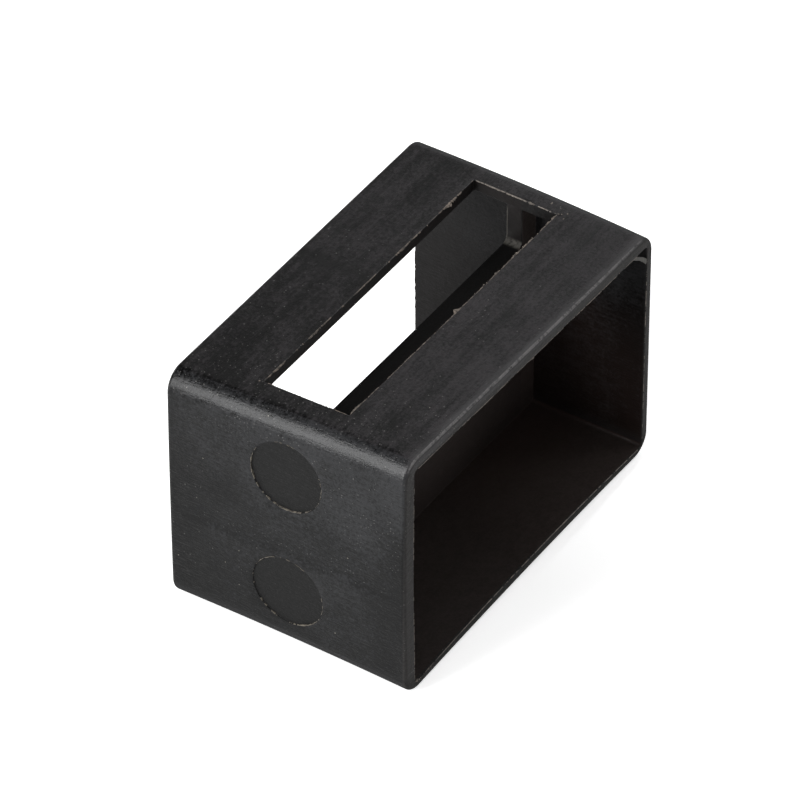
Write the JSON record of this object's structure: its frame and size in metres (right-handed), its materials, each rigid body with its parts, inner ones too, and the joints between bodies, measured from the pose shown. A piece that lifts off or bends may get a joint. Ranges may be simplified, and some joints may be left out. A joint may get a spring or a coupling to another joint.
{
  "type": "channel end cap",
  "caption": "Black moulded rectangular end cap for a channel: a sleeve open at front and back, with a cross wall inside and a long slot in its top.",
  "frame": {"origin": "middle of the underside", "axes": "+X along the length towards the plain end wall, -Y out of the front socket, +Z out of the slotted top"},
  "size_m": [0.033, 0.0202, 0.0211],
  "materials": {
    "black_plastic": "matt, with a fine stoned grain"
  },
  "bodies": {
    "root": {"end_cap": "black_plastic"}
  },
  "joints": []
}
